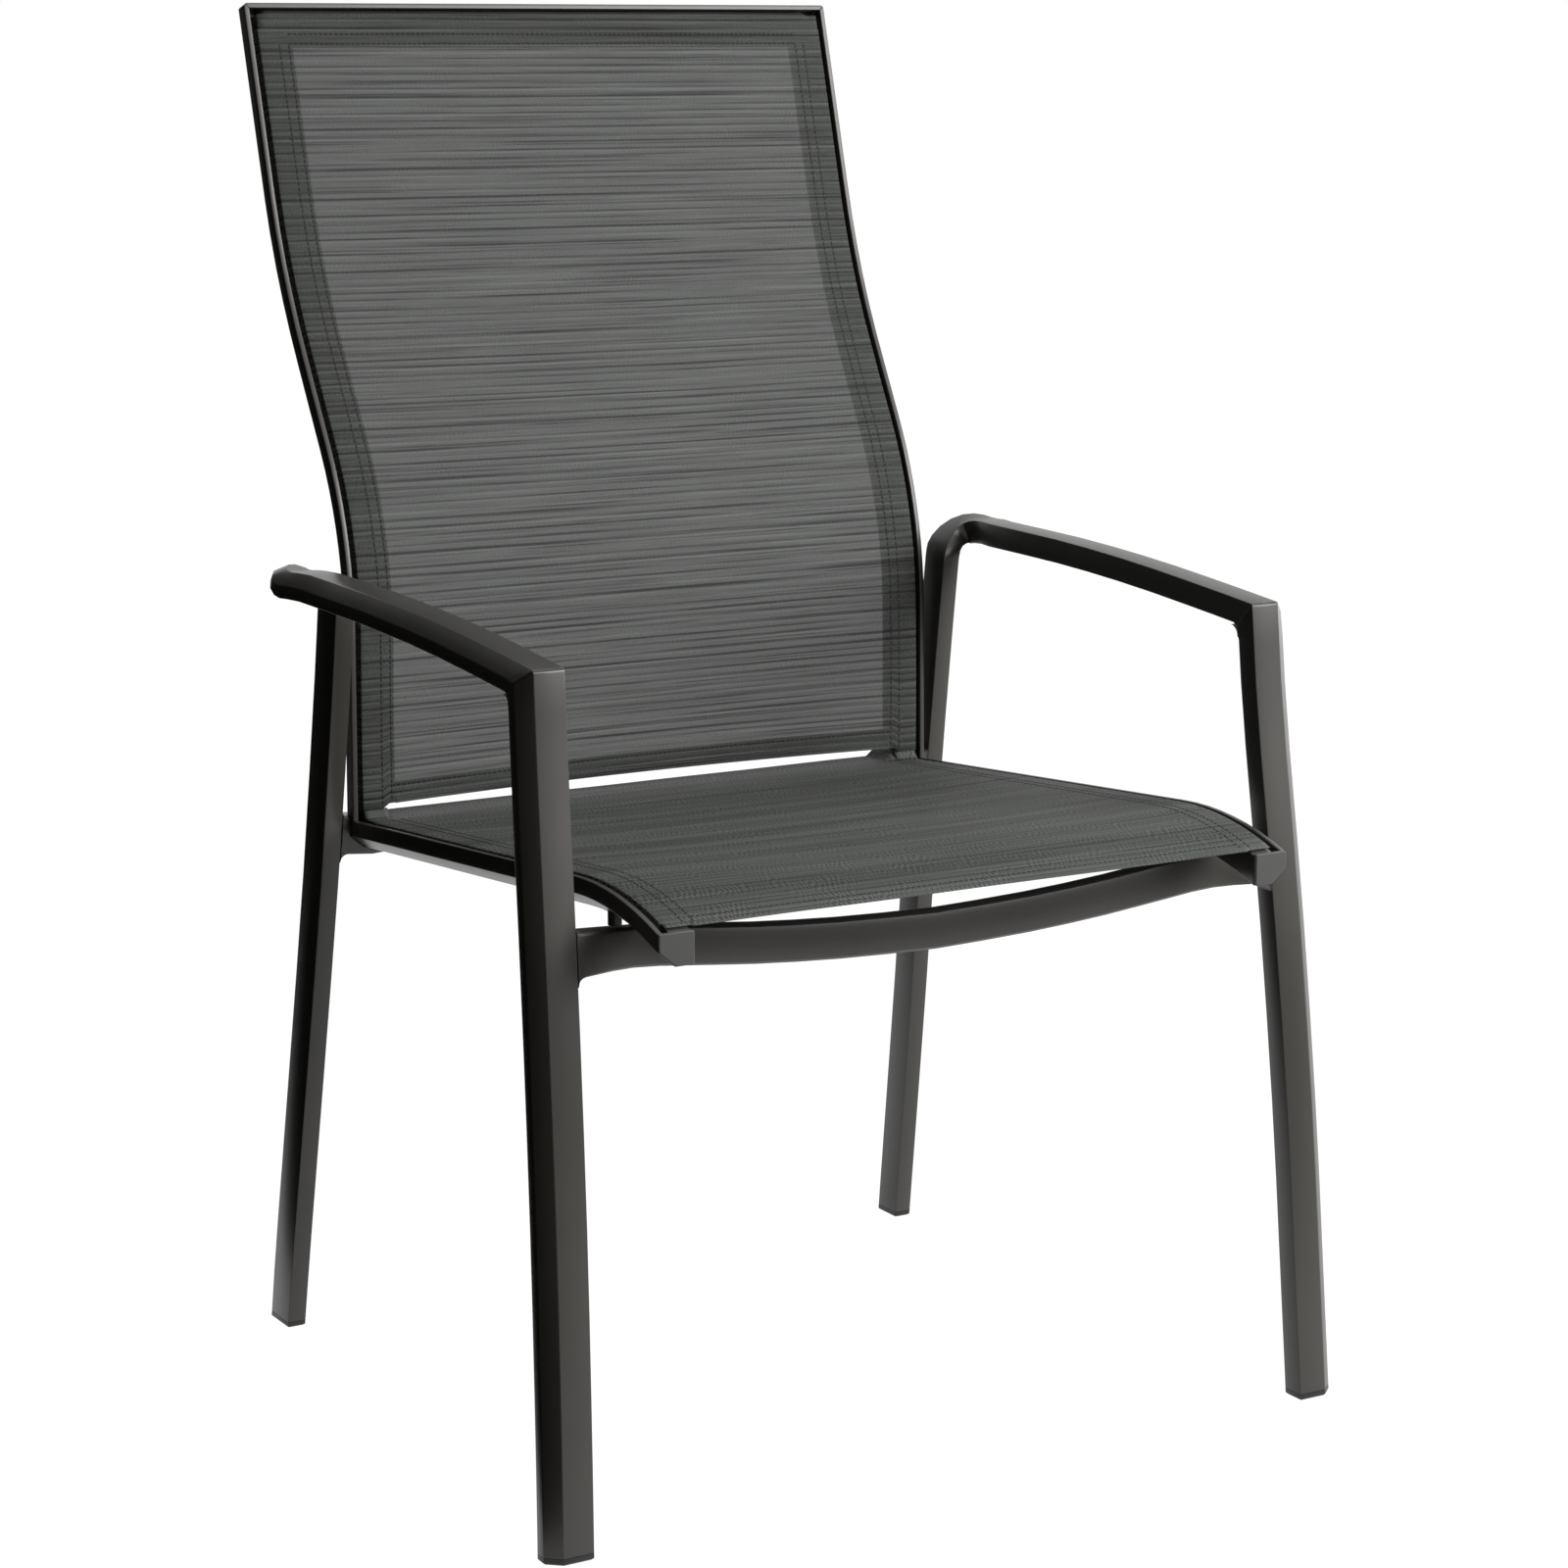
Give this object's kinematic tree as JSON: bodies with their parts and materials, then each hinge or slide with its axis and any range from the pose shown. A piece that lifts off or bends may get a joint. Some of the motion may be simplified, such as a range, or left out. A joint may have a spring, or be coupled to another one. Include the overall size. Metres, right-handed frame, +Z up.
{
  "type": "patio armchair",
  "caption": "High-backed stacking patio armchair: bent and bevelled aluminium tube frame with grooved rails that hold taut woven sling panels for seat and back.",
  "frame": {"origin": "On the floor, under the middle of the chair's bounding box.", "axes": "+Z is up, the sitter faces -Y, and +X is the sitter's left."},
  "size_m": [0.6854, 0.6898, 1.0613],
  "materials": {
    "frame_paint": "satin",
    "sling_fabric": "matte",
    "cap_plastic": "matte",
    "rod_plastic": "matte",
    "glide_plastic": "matte"
  },
  "bodies": {
    "root": {"front_leg_left": "frame_paint", "front_leg_right": "frame_paint", "arm_tube_left": "frame_paint", "arm_tube_right": "frame_paint", "seat_rail_left": "frame_paint", "seat_rail_right": "frame_paint", "back_rail_left": "frame_paint", "back_rail_right": "frame_paint", "top_rail": "frame_paint", "front_crossbar": "frame_paint", "rear_crossbar": "frame_paint", "rail_spacer_left": "frame_paint", "rail_spacer_right": "frame_paint", "rail_cap_left": "cap_plastic", "rail_cap_right": "cap_plastic", "seat_sling": "sling_fabric", "back_sling": "sling_fabric", "seat_rod_left": "rod_plastic", "seat_rod_right": "rod_plastic", "back_rod_left": "rod_plastic", "back_rod_right": "rod_plastic", "top_rod": "rod_plastic", "glide_front_left": "glide_plastic", "glide_front_right": "glide_plastic", "glide_rear_left": "glide_plastic", "glide_rear_right": "glide_plastic"}
  },
  "joints": []
}
